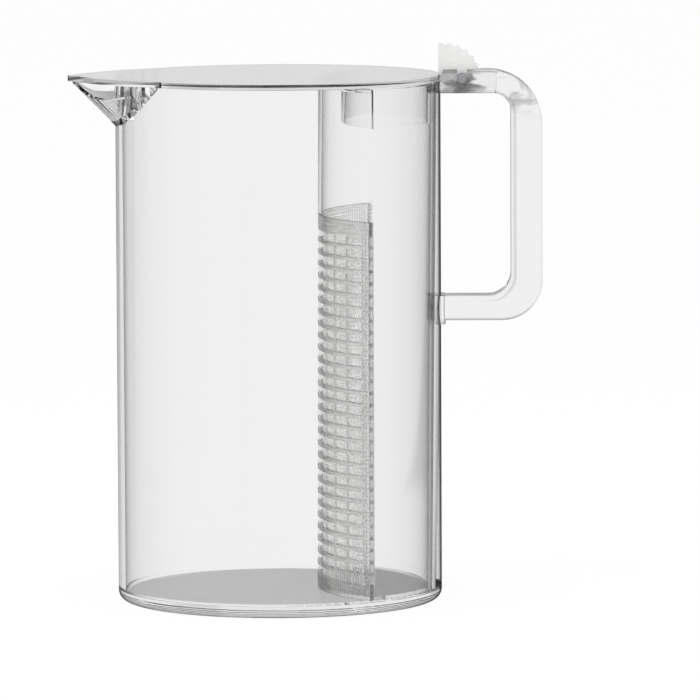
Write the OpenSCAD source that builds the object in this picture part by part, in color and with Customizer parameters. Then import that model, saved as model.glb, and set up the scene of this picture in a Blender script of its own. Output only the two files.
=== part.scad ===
// Clear jug with a pointed spout, a squared handle, a lift-off hinged lid and a tall strainer column.
// The origin is the centre of the underside. The spout points along -X and the handle along +X.

/* [Jug] */
// Outer diameter of the jug
jug_d = 144; // [120:1:160]
// Height of the rim above the table
jug_h = 231; // [215:1:260]
// Thickness of the jug's wall
jug_wall = 3; // [2.4:0.1:3.6]
// Thickness of the jug's floor
floor_t = 5; // [3.5:0.1:6]
// Radius of the rounded edge round the foot
foot_r = 4.5; // [3:0.5:8]
// Radius of the corner inside the foot
bore_foot_r = 1.5; // [1:0.1:3]

/* [Spout] */
// Distance of the spout's tip from the jug's axis
spout_reach = 91.4; // [87:0.2:95]
// Depth of the spout's root below the rim
spout_drop = 19.8; // [16:0.2:24]
// Half the plan angle between the spout's two sides at the tip
spout_half_angle = 60; // [56:1:62]
// Angle from the spout's middle at which its cheeks meet the jug
spout_join_angle = 44.6; // [42:0.2:47]
// Thickness of the spout's wall
spout_wall = 2.4; // [1.8:0.1:2.8]

/* [Comb] */
// Number of slots in the wall behind the spout
slot_count = 10; // [6:2:10]
// Angle between neighbouring slots
slot_pitch = 8.1; // [7:0.1:8.4]
// Width of a slot
slot_w = 3; // [2:0.1:4]

/* [Handle] */
// Distance of the handle's outer face from the jug's axis
handle_reach = 116.9; // [113:0.1:124]
// Width of the handle across the hand
handle_w = 19; // [17:0.5:22]
// Height of the handle's top above the rim
handle_rise = 4.6; // [3.5:0.1:5.5]
// Height of the handle's lower edge above the table
handle_low = 124.4; // [100:0.2:130]
// Thickness of the top bar
top_bar = 10.4; // [9.5:0.1:11.5]
// Thickness of the upright grip
grip_bar = 13.9; // [12:0.1:15]
// Thickness of the bottom bar
bottom_bar = 11.1; // [10:0.1:12.5]
// Outer bend radius at the top
bend_out_top = 24; // [20:0.5:27]
// Outer bend radius at the bottom
bend_out_low = 18; // [15:0.5:20]
// Inner bend radius at the top
bend_in_top = 8; // [7:0.5:9]
// Inner bend radius at the bottom
bend_in_low = 10; // [8:0.5:11]
// Rounding along the handle's edges
edge_r = 3.6; // [2:0.1:4]
// Thickness of the weld foot at the lower root
weld_t = 2; // [1:0.1:3]

/* [Hinge] */
// Distance of the hinge pin from the jug's axis
hinge_x = 81.5; // [80:0.1:84]
// Height of the hinge pin above the rim
hinge_rise = 0.9; // [0.5:0.1:1.2]
// Diameter of the hinge pin
pin_d = 4.4; // [3.6:0.1:5]
// Radial clearance round the hinge pin
pin_gap = 0.08; // [0.05:0.01:0.1]
// Gap on each side of the tongue in the handle's fork
fork_gap = 0.4; // [0.3:0.1:0.8]

/* [Lid] */
// Thickness of the lid
lid_t = 2.5; // [2:0.1:3.2]
// Gap between the lid and the rim
lid_gap = 0.05; // [0.02:0.01:0.1]
// Overhang of the lid past the sides of the spout
lid_lip = 1.4; // [0.8:0.1:2]

/* [Thumb lever] */
// Thickness of the lever across the handle
lever_w = 7; // [6:0.1:8]
// Distance of the lever's upright face inside the jug's outer surface
tab_in = 0.9; // [0:0.1:2]
// Height of the toothed arc's centre above the rim
arc_rise = 0.4; // [0:0.1:1]
// Distance of the toothed arc's centre from the lever's upright face
arc_out = 3.4; // [2:0.1:5]
// Radius of the lever's toothed arc
lever_r = 15.7; // [15:0.1:16.5]
// Number of teeth on the arc
tooth_count = 5; // [4:1:7]
// Height of a tooth
tooth_h = 1.4; // [0.8:0.1:2]
// Wall round the hinge pin
boss_wall = 1.8; // [1.5:0.1:2.2]

/* [Filter] */
// Distance of the filter's front from the jug's axis
filter_front = 17.2; // [12:0.2:22]
// Radius of the filter's convex front
filter_r = 77.7; // [70:0.5:90]
// Gap between the filter and the jug's wall
filter_gap = 0.5; // [0.3:0.1:1]
// Gap between the filter and the jug's floor
filter_foot_gap = 0.3; // [0.1:0.1:1]
// Gap between the filter and the lid
filter_top_gap = 1; // [0.5:0.1:2]
// Thickness of the filter's walls
filter_wall = 1.6; // [1.2:0.1:2]
// Thickness of the filter's floor plate
filter_floor_t = 2; // [1.5:0.1:3]
// Height of the plain band above the ribbed front
plain_h = 58; // [50:1:70]
// Depth of the mouth collar
collar_h = 17; // [12:0.5:22]
// Distance of the collar's front from the jug's axis
collar_front = 27.4; // [26:0.2:30]
// Rows of windows in the ribbed front
grid_rows = 29; // [20:1:29]
// Columns of windows in the ribbed front
grid_columns = 10; // [6:1:10]
// Height of a horizontal rib
rib_h = 1.5; // [1:0.1:2]
// Width of an upright rib
rib_w = 1.8; // [1.2:0.1:2.4]
// Height of the solid band above and below the windows
grid_margin = 6; // [3:0.5:10]
// Thickness of the net behind the ribs
net_t = 0.4; // [0.3:0.1:0.6]

/* [Hidden] */
$fn = 96;
far = 2 * jug_d;

jug_r = jug_d / 2;
bore_r = jug_r - jug_wall;
over = 1;
join = [-jug_r * cos(spout_join_angle), jug_r * sin(spout_join_angle)];
tip_share = 0.08;
cheek_share = 0.7;
cheek_y = join[1] * cheek_share;
cheek_bend = [0.62, 0.4];
side_run = cheek_y / tan(spout_half_angle);
apex_x = -spout_reach - side_run * tip_share / 2;
cheek = [apex_x + side_run, cheek_y];
side_in = [sin(spout_half_angle), -cos(spout_half_angle)];
cheek_in = [join[1] - cheek[1], cheek[0] - join[0]] / norm(join - cheek);
keel_angle = atan(spout_drop / (spout_reach - jug_r));
trough_round = 0.64;
trough_steps = 20;
cheek_rise = spout_drop * cos(keel_angle) + (jug_r + join[0]) * sin(keel_angle);
slot_foot = 0.1;
slot_past = 0.3;

handle_top = jug_h + handle_rise;
grip_in = handle_reach - grip_bar;
pin_r = pin_d / 2;
hinge = [hinge_x, 0, jug_h + hinge_rise];
fork_w = lever_w + 2 * fork_gap;
lid_top = jug_h + lid_gap + lid_t;
tab_left = jug_r - tab_in;
boss_r = pin_r + boss_wall;
lever_c = [tab_left + arc_out, jug_h + arc_rise];
tooth_step = 15.6;
first_tooth = 85.4;
tooth_lead = 5;
last_fall = 3.5;
socket_l = 8;
knuckle_gap = 0.5;
knuckle_r = hinge_x - jug_r - knuckle_gap;
fork_reach = lever_r - knuckle_gap;
fork_end = hinge_x + fork_reach;
band_core = 0.6;
band_t = edge_r + band_core;
root_depth = 4;
root_x = jug_r - root_depth;
weld_lip = 1.6;
gap_top = handle_top - top_bar;
gap_low = handle_low + bottom_bar;
collar_t = 1.4;

filter_out = bore_r - filter_gap;
filter_z0 = floor_t + filter_foot_gap;
shell_z0 = floor_t + max(filter_foot_gap, bore_foot_r);
filter_z1 = jug_h - filter_top_gap;
filter_cx = filter_front + filter_r;
grid_z0 = filter_z0 + filter_floor_t;
grid_z1 = filter_z1 - plain_h;
corner_x = (filter_cx * filter_cx + filter_out * filter_out - filter_r * filter_r) / (2 * filter_cx);
corner_y = sqrt(filter_out * filter_out - corner_x * corner_x);
front_half = asin(corner_y / filter_r);
side_margin = 4;

// Points of a smooth bend from a to c that is drawn towards b
function bend(a, b, c, n = 8) =
    [for (i = [0:n]) let (t = i / n) (1 - t) * (1 - t) * a + 2 * t * (1 - t) * b + t * t * c];

function mirrored(points) = [for (i = [len(points) - 1:-1:0]) [points[i][0], -points[i][1]]];

// Plan of the beak: a blunt tip, two straight sides, and cheeks that bend in to the jug.
// A negative inset widens the tip and sides, and leaves the ends of the cheeks where they are.
module beak_plan(inset = 0) {
    apex = [apex_x + inset / sin(spout_half_angle), 0];
    corner = cheek + inset * (side_in + cheek_in) / (1 + side_in * cheek_in);
    end = join + max(inset, 0) * cheek_in;
    sunk = end + 2 * jug_wall * (join - cheek) / norm(join - cheek);
    side = concat(bend(apex + cheek_bend[0] * (corner - apex), corner, corner + cheek_bend[1] * (end - corner)),
                  [sunk]);
    nose = apex + tip_share * (corner - apex);
    polygon(concat(bend([nose[0], -nose[1]], apex, nose), side, mirrored(side)));
}

// Height of the beak's underside above its keel, at distance y from the middle
function hull_rise(y) = let (t = y / join[1])
    cheek_rise * (trough_round * pow(t, 2) + (1 - trough_round) * pow(t, 4));

// Solid beak: its plan, over a trough that runs down along the keel
module beak_form(inset = 0, top = 0) {
    side = [for (i = [0:trough_steps]) let (y = join[1] * i / trough_steps) [y, hull_rise(y) + inset]];
    trough = concat([for (i = [trough_steps:-1:1]) [-side[i][0], side[i][1]]], side,
                    [[join[1] + 0.1, far], [-join[1] - 0.1, far]]);
    intersection() {
        translate([0, 0, jug_h - 2 * spout_drop]) linear_extrude(2 * spout_drop + top) beak_plan(inset);
        translate([-spout_reach, 0, jug_h]) rotate([0, keel_angle, 0]) rotate([90, 0, 90])
            translate([0, 0, -spout_reach / 2]) linear_extrude(2 * spout_reach) polygon(trough);
    }
}

module jug_body() {
    color([0.93, 0.94, 0.95, 0.35])
    difference() {
        union() {
            rotate_extrude(convexity = 4) {
                square([jug_r - foot_r, floor_t]);
                translate([jug_r - foot_r, foot_r]) intersection() {
                    circle(foot_r);
                    translate([0, -foot_r]) square(foot_r);
                }
                translate([0, foot_r]) square([jug_r, jug_h - foot_r]);
            }
            beak_form();
        }
        rotate_extrude(convexity = 4) {
            translate([0, floor_t]) square([bore_r - bore_foot_r, jug_h]);
            translate([bore_r - bore_foot_r, floor_t + bore_foot_r]) circle(bore_foot_r);
            translate([0, floor_t + bore_foot_r]) square([bore_r, jug_h]);
        }
        difference() {
            beak_form(inset = spout_wall, top = over);
            cylinder(h = far, r = jug_r);
        }
        comb_slots();
    }
}

// Radial slots from the rim down to the floor of the spout
module comb_slots() {
    for (i = [0:slot_count - 1]) {
        angle = (i - (slot_count - 1) / 2) * slot_pitch;
        back = jug_r * (1 - cos(angle));
        rise = (hull_rise(abs(jug_r * sin(angle))) + spout_wall - back * sin(keel_angle)) / cos(keel_angle);
        deep = spout_drop - rise - slot_foot;
        rotate([0, 0, 180 - angle]) translate([bore_r - over, -slot_w / 2, jug_h - deep])
            cube([over + jug_wall + slot_past, slot_w, deep + over]);
    }
}

// Section of a band of the handle: its face lies at x = 0, with both edges rounded
module band_section() {
    intersection() {
        translate([-band_t, -handle_w / 2]) square([band_t, handle_w]);
        union() {
            translate([-far, -handle_w / 2]) square([far - edge_r, handle_w]);
            translate([-far, -handle_w / 2 + edge_r]) square([far, handle_w - 2 * edge_r]);
            for (side = [-1, 1]) translate([-edge_r, side * (handle_w / 2 - edge_r)]) circle(edge_r);
        }
    }
}

// Straight band from point p, with its face towards the given angle, running a quarter turn behind it
module band_run(p, angle, length) {
    translate(p) rotate([0, 0, angle]) rotate([90, 0, 0]) linear_extrude(length) band_section();
}

module outer_bend(centre, start, radius) {
    translate(centre) rotate([0, 0, start]) rotate_extrude(angle = 90)
        translate([radius, 0]) band_section();
}

module inner_bend(centre, start, radius) {
    translate(centre) rotate([0, 0, start]) rotate_extrude(angle = 90)
        translate([radius, 0]) mirror([1, 0]) band_section();
}

module rounded_rect(low, high, r_low, r_high) {
    difference() {
        translate(low) square(high - low);
        translate([high[0] - r_high, high[1] - r_high]) square(r_high + over);
        translate([high[0] - r_low, low[1] - over]) square(r_low + over);
    }
    translate([high[0] - r_high, high[1] - r_high]) circle(r_high);
    translate([high[0] - r_low, low[1] + r_low]) circle(r_low);
}

// Squared loop with rounded edges, drawn in its own plane and stood upright
module handle_loop() {
    run = grip_in - root_x;
    rotate([90, 0, 0]) {
        band_run([root_x, handle_top], 90, handle_reach - bend_out_top - root_x);
        outer_bend([handle_reach - bend_out_top, handle_top - bend_out_top], 0, bend_out_top);
        band_run([handle_reach, handle_top - bend_out_top], 0,
                 handle_top - handle_low - bend_out_top - bend_out_low);
        outer_bend([handle_reach - bend_out_low, handle_low + bend_out_low], -90, bend_out_low);
        band_run([handle_reach - bend_out_low, handle_low], -90, handle_reach - bend_out_low - root_x);
        band_run([grip_in - bend_in_top, gap_top], -90, run - bend_in_top);
        inner_bend([grip_in - bend_in_top, gap_top - bend_in_top], 0, bend_in_top);
        band_run([grip_in, gap_low + bend_in_low], 180, gap_top - gap_low - bend_in_top - bend_in_low);
        inner_bend([grip_in - bend_in_low, gap_low + bend_in_low], -90, bend_in_low);
        band_run([root_x, gap_low], 90, run - bend_in_low);
        linear_extrude(handle_w, center = true) difference() {
            rounded_rect([root_x, handle_low + edge_r], [handle_reach - edge_r, handle_top - edge_r],
                         bend_out_low - edge_r, bend_out_top - edge_r);
            rounded_rect([root_x - over, gap_low - edge_r], [grip_in + edge_r, gap_top + edge_r],
                         bend_in_low + edge_r, bend_in_top + edge_r);
        }
    }
}

module across(length) {
    rotate([90, 0, 0]) translate([0, 0, -length / 2]) linear_extrude(length) children();
}

module jug_handle() {
    color([0.93, 0.94, 0.95, 0.35])
    difference() {
        union() {
            handle_loop();
            intersection() {
                translate([0, 0, handle_low - weld_lip]) cylinder(h = bottom_bar + weld_lip, r = jug_r + weld_t);
                translate([0, 0, handle_low + bottom_bar / 2]) rotate([0, 90, 0])
                    cylinder(h = far, r = handle_w / 2 + weld_lip);
            }
        }
        cylinder(h = far, r = jug_r);
        // Clearance for the lid's edge as it swings up
        translate([0, 0, jug_h]) intersection() {
            difference() {
                translate([0, -handle_w, 0]) cube([hinge_x, 2 * handle_w, far]);
                translate([hinge_x, 0, hinge_rise]) across(far) circle(knuckle_r);
            }
            cylinder(h = far, r = hinge_x);
        }
        // Fork for the tongue, open at the top and below
        translate([0, -fork_w / 2, gap_top - over]) cube([fork_end, fork_w, far]);
        // Open-topped notches for the hinge pin
        translate(hinge) across(far) {
            circle(pin_r + pin_gap);
            translate([-pin_r - pin_gap, 0]) square([2 * (pin_r + pin_gap), far]);
        }
    }
}

module lid_plate() {
    color([0.9, 0.91, 0.93, 0.35])
    difference() {
        translate([0, 0, jug_h + lid_gap]) {
            cylinder(h = lid_t, r = jug_r);
            linear_extrude(lid_t) beak_plan(-lid_lip);
        }
        translate([jug_r - socket_l, -lever_w / 2, jug_h]) cube([socket_l + over, lever_w, 2 * lid_t]);
    }
}

// Upright tab with a saw-toothed arc, its tongue, and the boss round the pin
module thumb_lever() {
    last = first_tooth - tooth_step * (tooth_count - 1);
    teeth = [for (i = [0:tooth_count - 1]) let (a = first_tooth - tooth_step * i)
        each [[lever_r - tooth_h, a + tooth_lead], [lever_r, a]]];
    arc = [for (t = concat(teeth, [[lever_r - tooth_h, last - last_fall]]))
        lever_c + t[0] * [cos(t[1]), sin(t[1])]];
    first_top = lever_c + lever_r * [cos(first_tooth + 2 * tooth_lead), sin(first_tooth + 2 * tooth_lead)];
    color([0.96, 0.96, 0.95])
    difference() {
        union() {
            across(lever_w) polygon(concat(
                [[tab_left, lid_top], [tab_left, lever_c[1] + lever_r], first_top],
                arc,
                [[lever_c[0] + lever_r, handle_top], [hinge_x + boss_r, hinge[2]], [tab_left, hinge[2]]]));
            translate(hinge) across(lever_w) circle(boss_r);
            translate([jug_r - socket_l, -lever_w / 2, jug_h + lid_gap])
                cube([hinge_x - jug_r + socket_l, lever_w, lid_t]);
        }
        translate(hinge) across(far) circle(pin_r + pin_gap);
    }
}

module hinge_pin() {
    color([0.85, 0.86, 0.88]) translate(hinge) across(handle_w - 1) circle(pin_r);
}

// Lens between the jug's wall and the convex front, shrunk by the given amounts
module lens(back_in, front_in) {
    intersection() {
        circle(filter_out - back_in, $fn = 180);
        translate([filter_cx, 0]) circle(filter_r - front_in, $fn = 180);
    }
}

module filter_shell() {
    color([0.93, 0.94, 0.95, 0.35]) {
        translate([0, 0, shell_z0]) linear_extrude(filter_z1 - shell_z0) difference() {
            lens(0, 0);
            circle(filter_out - filter_wall, $fn = 180);
        }
        translate([0, 0, grid_z1]) linear_extrude(filter_z1 - grid_z1) difference() {
            lens(0, 0);
            lens(filter_wall, filter_wall);
        }
    }
}

module filter_grid() {
    row = (grid_z1 - filter_z0 - 2 * grid_margin) / grid_rows;
    step = 2 * (front_half - side_margin) / grid_columns;
    width = filter_r * step * PI / 180 - rib_w;
    color([0.9, 0.9, 0.88, 0.6])
    difference() {
        translate([0, 0, filter_z0]) linear_extrude(grid_z1 - filter_z0) difference() {
            lens(filter_wall, 0);
            translate([filter_cx, 0]) circle(filter_r - filter_wall, $fn = 180);
        }
        for (c = [0:grid_columns - 1], r = [0:grid_rows - 1])
            translate([filter_cx, 0, filter_z0 + grid_margin + r * row + rib_h / 2])
                rotate([0, 0, 180 + (c - (grid_columns - 1) / 2) * step])
                    translate([filter_r - 2 * filter_wall, -width / 2, 0])
                        cube([3 * filter_wall, width, row - rib_h]);
    }
}

module filter_mesh() {
    color([0.95, 0.95, 0.93, 0.5])
    translate([0, 0, filter_z0]) linear_extrude(grid_z1 - filter_z0) difference() {
        lens(filter_wall, filter_wall);
        lens(filter_wall - over, filter_wall + net_t);
    }
}

module filter_floor() {
    color([0.93, 0.94, 0.95, 0.35])
    translate([0, 0, filter_z0]) linear_extrude(filter_floor_t) lens(filter_wall, filter_wall + net_t);
}

// Funnel ring in the mouth: a narrower lens below a flange that meets the filter's front
module filter_collar() {
    inner_r = filter_out - filter_wall;
    front_r = filter_r - filter_wall;
    ix = (filter_cx * filter_cx + inner_r * inner_r - front_r * front_r) / (2 * filter_cx);
    iy = sqrt(inner_r * inner_r - ix * ix);
    sag = ix - collar_front;
    collar_r = (sag * sag + iy * iy) / (2 * sag);
    color([0.93, 0.94, 0.95, 0.35])
    difference() {
        union() {
            translate([0, 0, filter_z1 - collar_h]) linear_extrude(collar_h) intersection() {
                circle(inner_r, $fn = 180);
                translate([collar_front + collar_r, 0]) circle(collar_r, $fn = 180);
            }
            translate([0, 0, filter_z1 - filter_wall]) linear_extrude(filter_wall)
                lens(filter_wall, filter_wall);
        }
        linear_extrude(far) intersection() {
            circle(inner_r - collar_t, $fn = 180);
            translate([collar_front + collar_r, 0]) circle(collar_r - collar_t, $fn = 180);
        }
    }
}

jug_body();
jug_handle();
lid_plate();
thumb_lever();
hinge_pin();
filter_shell();
filter_grid();
filter_mesh();
filter_floor();
filter_collar();
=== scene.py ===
import math

import bmesh
import bpy
from mathutils import Matrix, Vector


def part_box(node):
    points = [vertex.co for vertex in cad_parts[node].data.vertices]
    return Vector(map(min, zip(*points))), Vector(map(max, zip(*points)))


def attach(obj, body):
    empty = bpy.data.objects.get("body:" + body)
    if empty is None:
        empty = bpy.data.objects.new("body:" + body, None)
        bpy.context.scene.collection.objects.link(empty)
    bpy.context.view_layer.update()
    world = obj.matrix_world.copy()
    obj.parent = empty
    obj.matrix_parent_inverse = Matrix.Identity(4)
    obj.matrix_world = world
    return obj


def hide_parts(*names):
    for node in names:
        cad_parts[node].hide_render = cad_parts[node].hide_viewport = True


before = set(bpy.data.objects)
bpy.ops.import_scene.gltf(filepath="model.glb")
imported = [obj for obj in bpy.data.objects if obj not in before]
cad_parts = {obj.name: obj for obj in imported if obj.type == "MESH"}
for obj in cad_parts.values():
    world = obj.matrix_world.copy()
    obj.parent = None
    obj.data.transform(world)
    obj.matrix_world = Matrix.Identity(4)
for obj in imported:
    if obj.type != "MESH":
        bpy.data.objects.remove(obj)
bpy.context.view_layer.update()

# The camera, fitted to the photograph's outline points, in metres and degrees
CAMERA_PLACE = (0.025, -3.3394, 0.4476)
CAMERA_DOWN = 5.76
CAMERA_YAW = -0.111
CAMERA_ROLL = -0.24
CAMERA_FOCUS = 7554 / 700
CAMERA_NEAREST = 0.05
SENSOR = 36.0

# The fine net: distance between strands and their thickness, in metres, and the steps of a level strand
NET_PITCH = 0.00177
NET_THICK = 0.0003
NET_STEPS = 48

# The dark line of painted shade along the top of the lid's edge, where the edge of its nose and of the
# nose's tip start, and the heights between which the handle's painted grey streaks of shade come in, in
# metres
LID_LINE = 0.0014
NOSE_START = -0.05
NOSE_TIP = -0.0885
STREAK_SHADE_LOW = 0.212
STREAK_SHADE_HIGH = 0.226

# Where the jug is spout, in metres: past this X and not further under the filter's collar than this. What
# stands out of the wall by more than a hair is the beak, and the comb's slots are this deep in the wall
SPOUT_X = -0.03
SPOUT_UNDER_COLLAR = 0.01
HAIR = 0.0003
SLOT_DEPTH = 0.0032

# Faces by their normal: level and tilted upwards by its Z, upright by a small Z, and cut through the wall by
# a small part that points outwards
LEVEL = 0.95
TILTED = 0.05
UPRIGHT = 0.6
CUT_THROUGH = 0.3

# Points closer than this, in metres, are one. Edges bent by less than this, in radians, are part of one
# smooth surface, and large faces count this much for its normals
JOIN = 2e-6
SMOOTH_ANGLE = math.radians(28)
FLAT_WEIGHT = 60

# Clear plastic: the share of mirroring that counts as total, what a shadow ray keeps, and the wall's grey
TOTAL_SHARE = 0.985
SHADOW_KEEPS = 0.93
WALL_GREY = 0.8

# The outline's dark rim of painted shade, by how far the skin turns away, is fainter on the spout's side
# than past this X
RIM_TURN = (0.78, 0.88)
RIM_SPOUT_SIDE = 0.15
RIM_HANDLE_X = 0.06

# Milky plastic: how much it bends light, its roughness from and to, its grain, and its darker shade
MILKY_BEND = 1.49
MILKY_ROUGH = (0.25, 0.4)
MILKY_GRAIN = 0.06
MILKY_SHADE = 0.96

# The part of a noise's range that is used, and of the streaks' range where they turn dark
NOISE_RANGE = (0.3, 0.7)
STREAK_RANGE = (0.5, 0.58)

# The room seen by bent light: four dark flags in white, the first at FLAG_TURN degrees from +X, which the
# floor carries on between two distances, and a greyer ceiling between two heights of the view
FLAG_COUNT = 4
FLAG_TURN = 68
FLAG_EDGE = (0.8, 0.92)
FLAG_GREY = 0.8
FLAG_NEAR = 0.35
FLAG_FAR = 0.8
CEILING_EDGE = (0.2, 0.6)
CEILING_GREY = 0.5

# The room seen by mirrored light: a bright horizon that fades upwards, over a greyer floor
HORIZON_EDGE = (0.15, 0.6)
HORIZON_BRIGHT = 0.92
HORIZON_FADE = 0.4
FLOOR_EDGE = (-0.02, 0.02)
FLOOR_MIRRORED = 0.7

# The soft light, and the floor's size, gap under the jug, paleness and own glow
WORLD_LIGHT = 0.9
FLOOR_SIZE = 12
FLOOR_GAP = 0.0002
FLOOR_PALE = 0.93
FLOOR_GLOW = 0.9

# What the lamps point at, and how often light may be bent and mirrored on its way
LAMP_AIM = (0, 0, 0.12)
BENDS = 24
MIRRORINGS = 12


# Node helpers

def new_material(name):
    """An empty node material and its node tree."""
    material = bpy.data.materials.new(name)
    material.use_nodes = True
    material.node_tree.nodes.clear()
    return material, material.node_tree


def add(tree, kind, **values):
    """A node of that kind, with its properties and inputs set by name."""
    node = tree.nodes.new(kind)
    for key, value in values.items():
        if hasattr(node, key):
            setattr(node, key, value)
        else:
            node.inputs[key].default_value = value
    return node


def grey(value):
    """A grey colour of that brightness."""
    return (value, value, value, 1)


def feed(tree, socket, value):
    """Gives the socket a number, or links an output to it."""
    if isinstance(value, (int, float)):
        socket.default_value = value
    else:
        tree.links.new(value, socket)


def math_node(tree, operation, first, second=None):
    """The output of a math node; first and second are outputs or numbers."""
    node = add(tree, "ShaderNodeMath", operation=operation)
    feed(tree, node.inputs[0], first)
    if second is not None:
        feed(tree, node.inputs[1], second)
    return node.outputs[0]


def map_range(tree, value, start, end, low, high, kind="LINEAR"):
    """Runs from low to high as the value runs from start to end."""
    node = add(tree, "ShaderNodeMapRange", interpolation_type=kind)
    for name, number in {"From Min": start, "From Max": end, "To Min": low, "To Max": high}.items():
        node.inputs[name].default_value = number
    tree.links.new(value, node.inputs["Value"])
    return node.outputs["Result"]


def soft_step(tree, value, start, end, low, high):
    """Runs smoothly from low to high as the value runs from start to end."""
    return map_range(tree, value, start, end, low, high, "SMOOTHSTEP")


def coordinates(tree, output):
    """The X, Y and Z outputs of a place on the object, or of a direction in the room."""
    place = add(tree, "ShaderNodeTexCoord")
    split = add(tree, "ShaderNodeSeparateXYZ")
    tree.links.new(place.outputs[output], split.inputs[0])
    return split.outputs["X"], split.outputs["Y"], split.outputs["Z"]


def noise(tree, scale, detail, stretch=(1, 1, 1)):
    """Object-space noise, in cycles per metre, stretched along the axes."""
    place = add(tree, "ShaderNodeTexCoord")
    mapping = add(tree, "ShaderNodeMapping", Scale=stretch)
    texture = add(tree, "ShaderNodeTexNoise", Scale=scale, Detail=detail, Roughness=0.55)
    tree.links.new(place.outputs["Object"], mapping.inputs["Vector"])
    tree.links.new(mapping.outputs["Vector"], texture.inputs["Vector"])
    return texture.outputs["Fac"]


def relief(tree, height, strength, distance):
    """The normal bent by a relief of that height."""
    bump = add(tree, "ShaderNodeBump", Strength=strength, Distance=distance)
    tree.links.new(height, bump.inputs["Height"])
    return bump.outputs["Normal"]


def blend(tree, share, first, second):
    """A mix of two shaders: the first where share is 0, the second where it is 1."""
    mix = add(tree, "ShaderNodeMixShader")
    tree.links.new(share, mix.inputs["Fac"])
    tree.links.new(first, mix.inputs[1])
    tree.links.new(second, mix.inputs[2])
    return mix.outputs["Shader"]


def close_material(tree, surface, volume=None):
    """Links the finished shaders to the material's output."""
    output = add(tree, "ShaderNodeOutputMaterial")
    tree.links.new(surface, output.inputs["Surface"])
    if volume is not None:
        tree.links.new(volume, output.inputs["Volume"])


# Materials

def mirror_colour(tree, share, inside, gloss, keep):
    """The part of mirrored light that stays: gloss outside, keep inside, and all of it in full mirroring."""
    outside = math_node(tree, "SUBTRACT", 1.0, inside)
    skin = math_node(tree, "MAXIMUM", math_node(tree, "MULTIPLY", outside, gloss),
                     math_node(tree, "MULTIPLY", inside, keep))
    total = math_node(tree, "GREATER_THAN", share, TOTAL_SHARE)
    return math_node(tree, "MAXIMUM", total, skin)


def tint_with_painted_rim_shade(tree, tint, rim):
    """The tint of the light let through, with painted shade: darker where the skin turns away, most on the
    handle's side, for camera rays only.
    """
    facing = add(tree, "ShaderNodeLayerWeight", Blend=0.5).outputs["Facing"]
    turned = soft_step(tree, facing, *RIM_TURN, 0.0, rim)
    x = coordinates(tree, "Object")[0]
    side = soft_step(tree, x, 0.0, RIM_HANDLE_X, RIM_SPOUT_SIDE, 1.0)
    first = add(tree, "ShaderNodeLightPath").outputs["Is Camera Ray"]
    dark = math_node(tree, "MULTIPLY", math_node(tree, "MULTIPLY", turned, side), first)
    return math_node(tree, "MULTIPLY", math_node(tree, "SUBTRACT", 1.0, dark), tint)


def painted_bend_streaks(tree, depth):
    """Painted shade: grey streaks that darken the light let through near the upper bend of the handle."""
    streaks = noise(tree, 130, 3, (0.35, 0.1, 1.3))
    dark = soft_step(tree, streaks, *STREAK_RANGE, 0.0, depth)
    z = coordinates(tree, "Object")[2]
    high = soft_step(tree, z, STREAK_SHADE_LOW, STREAK_SHADE_HIGH, 0.0, 1.0)
    return math_node(tree, "SUBTRACT", 1.0, math_node(tree, "MULTIPLY", dark, high))


def clear_plastic(name, tint, density, rough=(0.01, 0.05), ior=1.5, gloss=0.4, cap=0.2, rim=0.0,
                  streak_shade=0.0, keep=0.0):
    """Clear moulded plastic: flow ripples, a little uneven gloss, and grey where light runs along the wall.

    gloss is how much of the room the skin mirrors, cap its largest share at a glancing angle, rim the
    darkness of the outline's painted shade and streak_shade the depth of the painted grey streaks of shade
    near the top.
    Of the light mirrored weakly inside a wall only keep stays, and the rest is left out; full mirroring
    stays."""
    material, tree = new_material(name)
    uneven = map_range(tree, noise(tree, 60, 5), *NOISE_RANGE, *rough)
    rippled = relief(tree, noise(tree, 14, 2, (1, 1, 0.35)), 0.02, 0.002)
    bend = add(tree, "ShaderNodeBsdfRefraction", IOR=ior)
    mirror = add(tree, "ShaderNodeBsdfAnisotropic", distribution="GGX")
    fresnel = add(tree, "ShaderNodeFresnel", IOR=ior)
    for shader in (bend, mirror):
        tree.links.new(uneven, shader.inputs["Roughness"])
    for node in (bend, mirror, fresnel):
        tree.links.new(rippled, node.inputs["Normal"])
    share = fresnel.outputs["Fac"]
    inside = add(tree, "ShaderNodeNewGeometry").outputs["Backfacing"]
    tree.links.new(mirror_colour(tree, share, inside, gloss, keep), mirror.inputs["Color"])
    colour = tint_with_painted_rim_shade(tree, tint, rim)
    if streak_shade:
        colour = math_node(tree, "MULTIPLY", colour, painted_bend_streaks(tree, streak_shade))
    tree.links.new(colour, bend.inputs["Color"])
    mirrored = math_node(tree, "MINIMUM", share, math_node(tree, "MAXIMUM", inside, cap))
    surface = blend(tree, mirrored, bend.outputs["BSDF"], mirror.outputs["BSDF"])
    shadow = add(tree, "ShaderNodeLightPath").outputs["Is Shadow Ray"]
    through = add(tree, "ShaderNodeBsdfTransparent", Color=grey(SHADOW_KEEPS))
    absorb = add(tree, "ShaderNodeVolumeAbsorption", Color=grey(WALL_GREY), Density=density)
    close_material(tree, blend(tree, shadow, surface, through.outputs["BSDF"]), absorb.outputs["Volume"])
    return material


def colour_socket(sockets, name):
    """The colour socket of that name, as a mix node has number sockets of the same name."""
    return next(socket for socket in sockets if socket.type == "RGBA" and socket.name == name)


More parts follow.
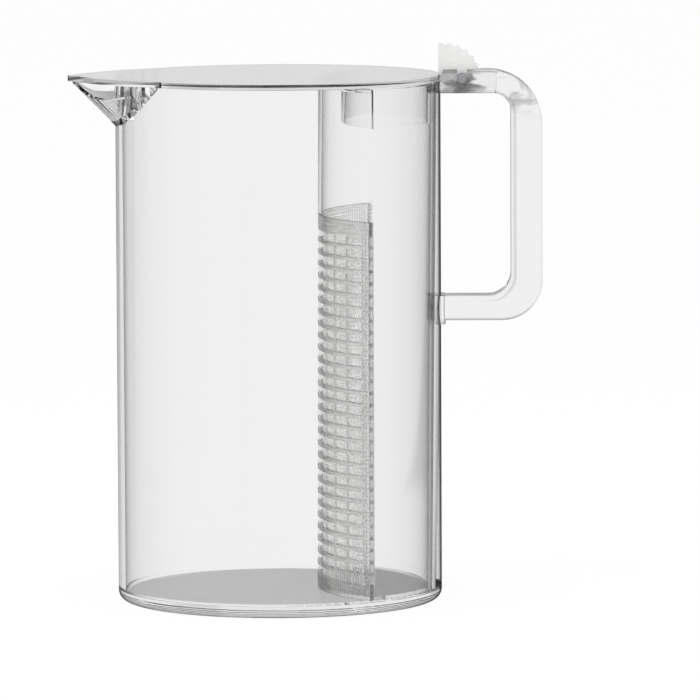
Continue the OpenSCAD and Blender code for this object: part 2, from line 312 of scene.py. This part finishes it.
def milky_plastic(name, colour, transmission):
    """Translucent white plastic with a fine moulded grain."""
    material, tree = new_material(name)
    shader = add(tree, "ShaderNodeBsdfPrincipled", IOR=MILKY_BEND)
    shader.inputs["Transmission Weight"].default_value = transmission
    cloud = noise(tree, 90, 4)
    shades = add(tree, "ShaderNodeMix", data_type="RGBA")
    for end, part in (("A", 1.0), ("B", MILKY_SHADE)):
        colour_socket(shades.inputs, end).default_value = (*[c * part for c in colour], 1)
    tree.links.new(cloud, shades.inputs["Factor"])
    tree.links.new(colour_socket(shades.outputs, "Result"), shader.inputs["Base Color"])
    tree.links.new(map_range(tree, cloud, *NOISE_RANGE, *MILKY_ROUGH), shader.inputs["Roughness"])
    tree.links.new(relief(tree, noise(tree, 900, 2), MILKY_GRAIN, 0.0005), shader.inputs["Normal"])
    close_material(tree, shader.outputs["BSDF"])
    return material


# The room, its light and the camera

def flags_round(tree, x, y):
    """Brightness by the compass: a white room with dark flags in it."""
    azimuth = math_node(tree, "ARCTAN2", y, x)
    turned = math_node(tree, "SUBTRACT", azimuth, math.radians(FLAG_TURN))
    wave = math_node(tree, "COSINE", math_node(tree, "MULTIPLY", turned, FLAG_COUNT))
    return soft_step(tree, wave, *FLAG_EDGE, 1.0, FLAG_GREY)


def flags_on_floor(tree, x, y):
    """The flags carried on by the floor, from some way off the object."""
    away = math_node(tree, "SQRT", math_node(tree, "ADD", math_node(tree, "MULTIPLY", x, x),
                                             math_node(tree, "MULTIPLY", y, y)))
    near = soft_step(tree, away, FLAG_NEAR, FLAG_FAR, 1.0, 0.0)
    return math_node(tree, "MAXIMUM", flags_round(tree, x, y), near)


def bent_view(tree, x, y, z):
    """What bent light sees of the room, by direction, so it stays as the camera moves."""
    ceiling = soft_step(tree, z, *CEILING_EDGE, 1.0, CEILING_GREY)
    return math_node(tree, "MULTIPLY", flags_round(tree, x, y), ceiling)


def mirrored_view(tree, z):
    """What mirrored light sees of the room: a bright horizon that fades towards ceiling and floor."""
    up = soft_step(tree, z, *HORIZON_EDGE, HORIZON_BRIGHT, HORIZON_FADE)
    down = soft_step(tree, z, *FLOOR_EDGE, FLOOR_MIRRORED, 1.0)
    return math_node(tree, "MULTIPLY", up, down)


def make_world():
    """Pure white for the camera, the room for bent and mirrored light, and soft light for the rest."""
    world = bpy.data.worlds.new("studio")
    world.use_nodes = True
    tree = world.node_tree
    tree.nodes.clear()
    path = add(tree, "ShaderNodeLightPath")
    x, y, z = coordinates(tree, "Generated")
    soft = add(tree, "ShaderNodeBackground", Color=grey(1.0), Strength=WORLD_LIGHT)
    shown = soft.outputs["Background"]
    for ray, strength in (
        ("Is Glossy Ray", mirrored_view(tree, z)),
        ("Is Transmission Ray", bent_view(tree, x, y, z)),
        ("Is Camera Ray", 1.0),
    ):
        room = add(tree, "ShaderNodeBackground", Color=grey(1.0))
        feed(tree, room.inputs["Strength"], strength)
        shown = blend(tree, path.outputs[ray], shown, room.outputs["Background"])
    output = add(tree, "ShaderNodeOutputWorld")
    tree.links.new(shown, output.inputs["Surface"])
    bpy.context.scene.world = world


def make_floor():
    """A pale floor that keeps a soft shadow, fades into the white and carries the room's look on."""
    bpy.ops.mesh.primitive_plane_add(size=FLOOR_SIZE, location=(0, 0, -FLOOR_GAP))
    floor = bpy.context.object
    floor.name = "floor"
    material, tree = new_material("pale_floor")
    path = add(tree, "ShaderNodeLightPath")
    x, y = coordinates(tree, "Object")[:2]
    shown = add(tree, "ShaderNodeBsdfDiffuse", Color=grey(FLOOR_PALE)).outputs["BSDF"]
    for ray, share, strength in (
        ("Is Glossy Ray", 1.0, FLOOR_MIRRORED),
        ("Is Transmission Ray", 1.0, flags_on_floor(tree, x, y)),
        ("Is Camera Ray", FLOOR_GLOW, 1.0),
    ):
        glow = add(tree, "ShaderNodeEmission")
        feed(tree, glow.inputs["Strength"], strength)
        part = math_node(tree, "MULTIPLY", path.outputs[ray], share)
        shown = blend(tree, part, shown, glow.outputs["Emission"])
    close_material(tree, shown)
    floor.data.materials.append(material)


def new_object(name, data):
    """A new object, put in the scene."""
    thing = bpy.data.objects.new(name, data)
    bpy.context.scene.collection.objects.link(thing)
    return thing


def area_light(name, place, size, power):
    """A soft rectangular lamp that points at the jug."""
    light = bpy.data.lights.new(name, "AREA")
    light.shape = "RECTANGLE"
    light.size, light.size_y = size
    light.energy = power
    lamp = new_object(name, light)
    lamp.location = place
    direction = lamp.location - Vector(LAMP_AIM)
    lamp.rotation_euler = direction.to_track_quat("Z", "Y").to_euler()


def make_camera():
    """The camera at the photograph's place, turned about the upright, then down, then about its view."""
    camera = bpy.data.cameras.new("camera")
    camera.sensor_width = SENSOR
    camera.lens = SENSOR * CAMERA_FOCUS
    camera.clip_start = CAMERA_NEAREST
    holder = new_object("camera", camera)
    holder.location = CAMERA_PLACE
    turn = Matrix.Rotation(math.radians(CAMERA_YAW), 4, "Z")
    tilt = Matrix.Rotation(math.radians(90 - CAMERA_DOWN), 4, "X")
    roll = Matrix.Rotation(math.radians(CAMERA_ROLL), 4, "Z")
    holder.rotation_euler = (turn @ tilt @ roll).to_euler()
    bpy.context.scene.camera = holder


def set_render():
    """The standard view, and light that may pass many walls."""
    scene = bpy.context.scene
    scene.view_settings.view_transform = "Standard"
    scene.cycles.max_bounces = BENDS
    scene.cycles.transmission_bounces = BENDS
    scene.cycles.glossy_bounces = MIRRORINGS
    scene.cycles.transparent_max_bounces = BENDS
    scene.cycles.caustics_refractive = True


# The moulded pieces

def smooth_mesh(node, cut):
    """A copy of a CAD node's mesh, split at the height cut if given: curves smooth, real edges sharp."""
    bm = bmesh.new()
    bm.from_mesh(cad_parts[node].data)
    bmesh.ops.remove_doubles(bm, verts=bm.verts, dist=JOIN)
    if cut is not None:
        everything = bm.verts[:] + bm.edges[:] + bm.faces[:]
        bmesh.ops.bisect_plane(bm, geom=everything, plane_co=(0, 0, cut), plane_no=(0, 0, 1))
    for face in bm.faces:
        face.smooth = True
    for edge in bm.edges:
        edge.smooth = edge.is_manifold and edge.calc_face_angle(0) < SMOOTH_ANGLE
    mesh = bpy.data.meshes.new(node + "_look")
    bm.to_mesh(mesh)
    bm.free()
    for layer in [a for a in mesh.attributes if a.name == "custom_normal"]:
        mesh.attributes.remove(layer)
    return mesh


def dress(node, body, material, cut=None):
    """Stands a smooth-shaded copy of a CAD node in its place.

    cut is a height at which the faces are split, so that a band of them can take another finish."""
    mesh = smooth_mesh(node, cut)
    mesh.materials.append(material)
    piece = new_object(node + "_look", mesh)
    weights = piece.modifiers.new("flat_faces_stay_flat", "WEIGHTED_NORMAL")
    weights.mode = "FACE_AREA"
    weights.weight = FLAT_WEIGHT
    weights.keep_sharp = True
    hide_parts(node)
    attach(piece, body)
    return piece


def add_finishes(piece, *materials):
    """Adds more materials to the piece and returns their indices."""
    first = len(piece.data.materials)
    for material in materials:
        piece.data.materials.append(material)
    return range(first, first + len(materials))


def shade_spout(jug, *materials):
    """The comb's slots take a darker tint and the beak's inside a grey one, both painted shade; the thin
    beak lets more light by.
    """
    slots, beak, trough = add_finishes(jug, *materials)
    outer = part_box("jug_body")[1].y
    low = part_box("filter_collar")[0].z - SPOUT_UNDER_COLLAR
    for face in jug.data.polygons:
        x, y, z = face.center
        if x > SPOUT_X or z < low:
            continue
        r = math.hypot(x, y)
        normal = face.normal
        outward = (normal.x * x + normal.y * y) / r
        if r > outer + HAIR:
            face.material_index = trough if TILTED < normal.z < LEVEL else beak
        elif r > outer - SLOT_DEPTH and abs(outward) < CUT_THROUGH and abs(normal.z) < LEVEL:
            face.material_index = slots


def paint_lid_edge_shade(lid, height, *materials):
    """Painted shade: the upper part of the lid's edge and its tip take darker tints, and the nose's edge
    lets more light in.
    """
    line, nose, nose_line = add_finishes(lid, *materials)
    for face in lid.data.polygons:
        if abs(face.normal.z) > UPRIGHT:
            continue
        upper = face.center.z > height
        if face.center.x < NOSE_START:
            face.material_index = nose_line if upper or face.center.x < NOSE_TIP else nose
        elif upper:
            face.material_index = line


# The fine net

def strand_ring(bm, centre, radius, half_angle, z, thick, steps):
    """One level strand of the net: a square bar bent round the front's arc."""
    loops = []
    for step in range(steps + 1):
        angle = math.pi + half_angle * (2 * step / steps - 1)
        ring = []
        for dr, dz in ((-1, -1), (1, -1), (1, 1), (-1, 1)):
            r = radius + dr * thick / 2
            x, y = centre + r * math.cos(angle), r * math.sin(angle)
            ring.append(bm.verts.new((x, y, z + dz * thick / 2)))
        loops.append(ring)
    for first, second in zip(loops, loops[1:]):
        for k in range(4):
            bm.faces.new((first[k], first[(k + 1) % 4], second[(k + 1) % 4], second[k]))
    bm.faces.new(loops[0][::-1])
    bm.faces.new(loops[-1])


def strand_post(bm, centre, radius, angle, low, high, thick):
    """One upright strand of the net."""
    corners = []
    turn = math.pi + angle
    for z in (low, high):
        for dr, dt in ((-1, -1), (1, -1), (1, 1), (-1, 1)):
            r = radius + dr * thick / 2
            t = turn + dt * thick / 2 / radius
            corners.append(bm.verts.new((centre + r * math.cos(t), r * math.sin(t), z)))
    for k in range(4):
        bm.faces.new((corners[k], corners[(k + 1) % 4], corners[4 + (k + 1) % 4], corners[4 + k]))
    bm.faces.new(corners[3::-1])
    bm.faces.new(corners[4:])


def make_net(material):
    """The fine net behind the ribs, strand by strand, in the place of the plain sheet."""
    low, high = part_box("filter_mesh")
    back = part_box("filter_floor")[0].x
    half_width = high.y
    sagitta = high.x - low.x
    radius = (half_width ** 2 + sagitta ** 2) / (2 * sagitta)
    centre = low.x + radius
    middle = radius - (back - low.x) / 2
    half_angle = math.asin(half_width / radius) - NET_THICK / radius
    bm = bmesh.new()
    rows = round((high.z - low.z) / NET_PITCH)
    for row in range(rows + 1):
        z = low.z + NET_THICK / 2 + (high.z - low.z - NET_THICK) * row / rows
        strand_ring(bm, centre, middle, half_angle, z, NET_THICK, NET_STEPS)
    columns = round(2 * half_angle * radius / NET_PITCH)
    for column in range(columns + 1):
        angle = half_angle * (2 * column / columns - 1)
        strand_post(bm, centre, middle, angle, low.z, high.z, NET_THICK)
    mesh = bpy.data.meshes.new("fine_net")
    bm.to_mesh(mesh)
    bm.free()
    mesh.materials.append(material)
    net = new_object("fine_net", mesh)
    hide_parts("filter_mesh")
    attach(net, "filter")


make_camera()
make_floor()
make_world()
area_light("key", (-0.9, -0.9, 1.5), (1.2, 1.2), 12)
area_light("fill", (1.3, -0.6, 0.9), (1.0, 1.4), 6)
set_render()

# Finishes of the jug and its spout, and of the handle
# The jug's outline takes a dark rim of painted shade, fainter on the spout's side
jug_clear = clear_plastic("jug_clear", 1.0, 5, cap=0.06, rim=0.9, keep=0.12)
# The comb's slot walls take a darker tint: painted shade
comb_painted_shade = clear_plastic("comb_painted_shade", 0.8, 5, cap=0.06)
beak_clear = clear_plastic("beak_clear", 1.0, 2, cap=0.04, keep=0.9)
# The beak's inside takes a grey tint: painted shade
trough_painted_shade = clear_plastic("trough_painted_shade", 0.94, 2, cap=0.04, keep=0.9)
# The handle takes a fainter rim of painted shade and painted grey streaks of shade near its upper bend
handle_clear = clear_plastic("handle_clear", 0.99, 14, cap=0.3, rim=0.4, streak_shade=0.3)

# Finishes of the lid, whose nose bends light little, and of its tab and pin
lid_clear = clear_plastic("lid_clear", 0.985, 10, gloss=1.0, cap=1.0)
# The upper band of the lid's edge and the nose's tip take darker tints: painted shade
line_painted_shade = clear_plastic("line_painted_shade", 0.87, 10, gloss=1.0, cap=1.0)
nose_clear = clear_plastic("nose_clear", 0.94, 2, ior=1.08, cap=0.1, keep=0.8)
nose_painted_shade = clear_plastic("nose_painted_shade", 0.72, 2, ior=1.08, cap=0.1, keep=0.8)
tab_milky = milky_plastic("tab_milky", (0.93, 0.93, 0.92), 0.35)
pin_plastic = milky_plastic("pin_plastic", (0.33, 0.33, 0.35), 0.3)

# Finishes of the filter
filter_clear = clear_plastic("filter_clear", 0.998, 6, rough=(0.03, 0.08), ior=1.1)
collar_clear = clear_plastic("collar_clear", 0.995, 4, ior=1.1)
grid_milky = clear_plastic("grid_milky", 0.98, 12, rough=(0.08, 0.2), ior=1.4)
net_milky = milky_plastic("net_milky", (0.92, 0.92, 0.9), 0.8)

# The jug with its handle
jug_look = dress("jug_body", "jug", jug_clear)
shade_spout(jug_look, comb_painted_shade, beak_clear, trough_painted_shade)
dress("jug_handle", "jug", handle_clear)

# The lid with its tab, and the pin it turns on
lid_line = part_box("lid_plate")[1].z - LID_LINE
lid_look = dress("lid_plate", "lid", lid_clear, lid_line)
paint_lid_edge_shade(lid_look, lid_line, line_painted_shade, nose_clear, nose_painted_shade)
dress("thumb_lever", "lid", tab_milky)
dress("hinge_pin", "pin", pin_plastic)

# The filter
dress("filter_shell", "filter", filter_clear)
dress("filter_grid", "filter", grid_milky)
make_net(net_milky)
dress("filter_floor", "filter", filter_clear)
dress("filter_collar", "filter", collar_clear)
